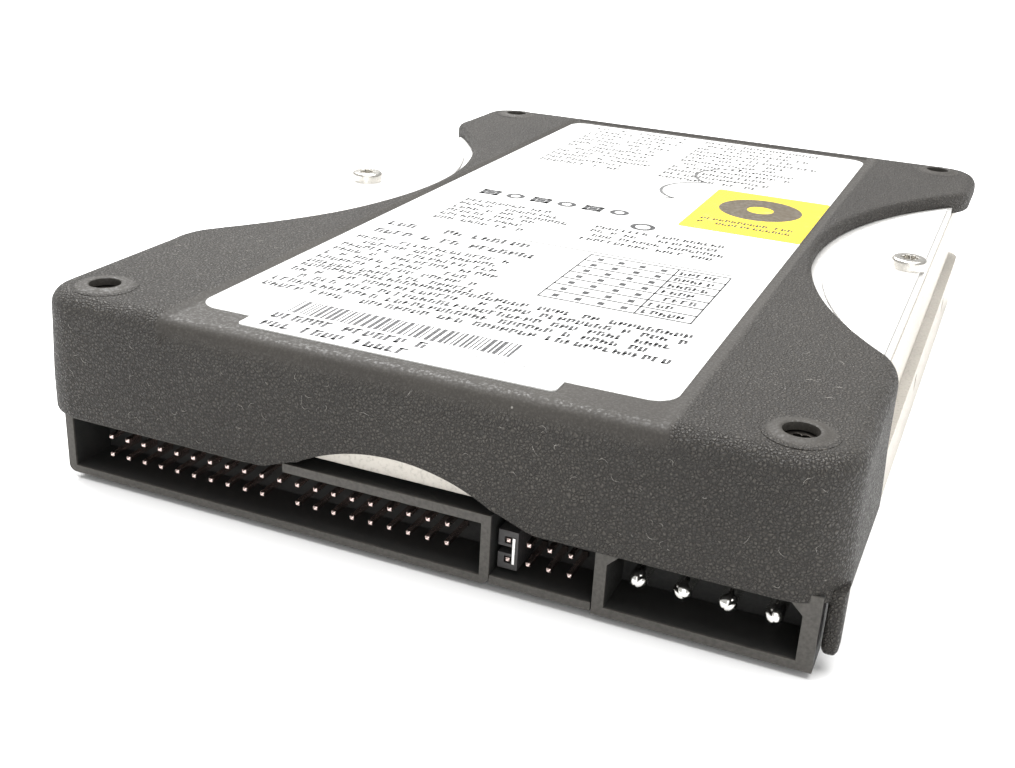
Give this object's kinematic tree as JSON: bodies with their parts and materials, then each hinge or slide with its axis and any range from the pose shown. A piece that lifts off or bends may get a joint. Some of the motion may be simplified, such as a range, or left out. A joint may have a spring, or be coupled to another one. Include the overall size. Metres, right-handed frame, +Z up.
{
  "type": "hard disk drive",
  "caption": "Internal 3.5-inch hard disk drive with a waisted rubber jacket over its cover, ribbon-cable header, jumper block and power connector",
  "frame": {"origin": "middle of the footprint at the underside of the mounting rails", "axes": "+X to the right seen from the connector end, +Y from the connector end to the far end, +Z up"},
  "size_m": [0.1037, 0.147, 0.0261],
  "materials": {
    "cast_aluminium": "as-cast with machined rims, dull",
    "gasket_rubber": "matt, pale",
    "plated_cover": "satin plated sheet",
    "screw_steel": "zinc plated",
    "jacket_rubber": "fine leathery grain, dusty",
    "white_label": "printed film, satin",
    "white_sticker": "printed film, satin",
    "yellow_sticker": "printed film, satin",
    "connector_plastic": "glass-filled, satin",
    "pin_plating": "thin plating over brass",
    "shunt_plastic": "satin",
    "clip_metal": "bright strip",
    "tin_plating": "bright tin",
    "board_laminate": "solder mask over traces",
    "foam": "closed-cell foam",
    "chip_plastic": "moulded, matt",
    "crystal_can": "drawn can",
    "capacitor_body": "moulded tantalum",
    "passive_body": "ceramic blocks with tinned ends",
    "motor_steel": "turned",
    "bearing_steel": "ground",
    "core_steel": "stacked laminations",
    "winding_copper": "enamelled copper",
    "turned_aluminium": "turned",
    "magnet_black": "bonded magnet",
    "disk_mirror": "polished and sputtered",
    "amber_plastic": "moulded",
    "spring_steel": "etched foil",
    "slider_ceramic": "lapped ceramic",
    "flex_film": "polyimide film with traces",
    "yoke_nickel": "nickel plated",
    "magnet_nickel": "nickel plated",
    "stop_rubber": "smooth",
    "filter_fabric": "pleated felt"
  },
  "bodies": {
    "drive": {"base_casting": "cast_aluminium", "cover_gasket": "gasket_rubber", "top_cover": "plated_cover", "cover_screws": "screw_steel", "rubber_jacket": "jacket_rubber", "main_label": "white_label", "barcode_sticker": "white_sticker", "coloured_sticker": "yellow_sticker", "header_housing": "connector_plastic", "header_pins": "pin_plating", "jumper_housing": "connector_plastic", "jumper_pins": "pin_plating", "power_housing": "connector_plastic", "power_pins": "tin_plating", "circuit_board": "board_laminate", "insulator_sheet": "foam", "board_screws": "screw_steel", "controller_chip": "chip_plastic", "buffer_memory_chip": "chip_plastic", "motor_driver_chip": "chip_plastic", "code_memory_chip": "chip_plastic", "chip_leads": "tin_plating", "clock_crystal": "crystal_can", "power_capacitors": "capacitor_body", "small_parts": "passive_body", "motor_connector": "connector_plastic", "bulkhead_connector": "connector_plastic", "motor_base": "motor_steel", "spindle_shaft": "motor_steel", "bearing_inner_races": "bearing_steel", "stator_core": "core_steel", "stator_windings": "winding_copper", "pivot_shaft": "bearing_steel", "flex_circuit": "flex_film", "lower_yoke": "yoke_nickel", "upper_yoke": "yoke_nickel", "lower_magnet": "magnet_nickel", "upper_magnet": "magnet_nickel", "yoke_posts": "yoke_nickel", "yoke_screws": "screw_steel", "crash_stops": "stop_rubber", "air_filter": "filter_fabric"},
    "spindle_rotor": {"bearing_outer_races": "bearing_steel", "bearing_balls": "bearing_steel", "spindle_hub": "turned_aluminium", "rotor_magnet": "magnet_black", "lower_platter": "disk_mirror", "upper_platter": "disk_mirror", "platter_spacer": "turned_aluminium", "disk_clamp": "turned_aluminium", "clamp_screws": "screw_steel"},
    "head_actuator": {"pivot_sleeve": "bearing_steel", "actuator_arms": "turned_aluminium", "voice_coil": "winding_copper", "coil_frame": "amber_plastic", "head_springs": "spring_steel", "head_sliders": "slider_ceramic", "preamp_board": "flex_film"},
    "jumper": {"jumper_shunt": "shunt_plastic", "shunt_clip": "clip_metal"}
  },
  "joints": [
    {"name": "spindle_spin", "type": "hinge", "parent": "drive", "child": "spindle_rotor", "pos_m": [0, 0.0214, 0.015], "axis": [0, 0, 1], "continuous": true},
    {"name": "actuator_swing", "type": "hinge", "parent": "drive", "child": "head_actuator", "pos_m": [0.01, -0.0308, 0.015], "axis": [0, 0, 1], "range_deg": [0, 34.5]},
    {"name": "jumper_pull", "type": "slide", "parent": "drive", "child": "jumper", "axis": [0, -1, 0], "range_m": [0, 0.009]}
  ]
}
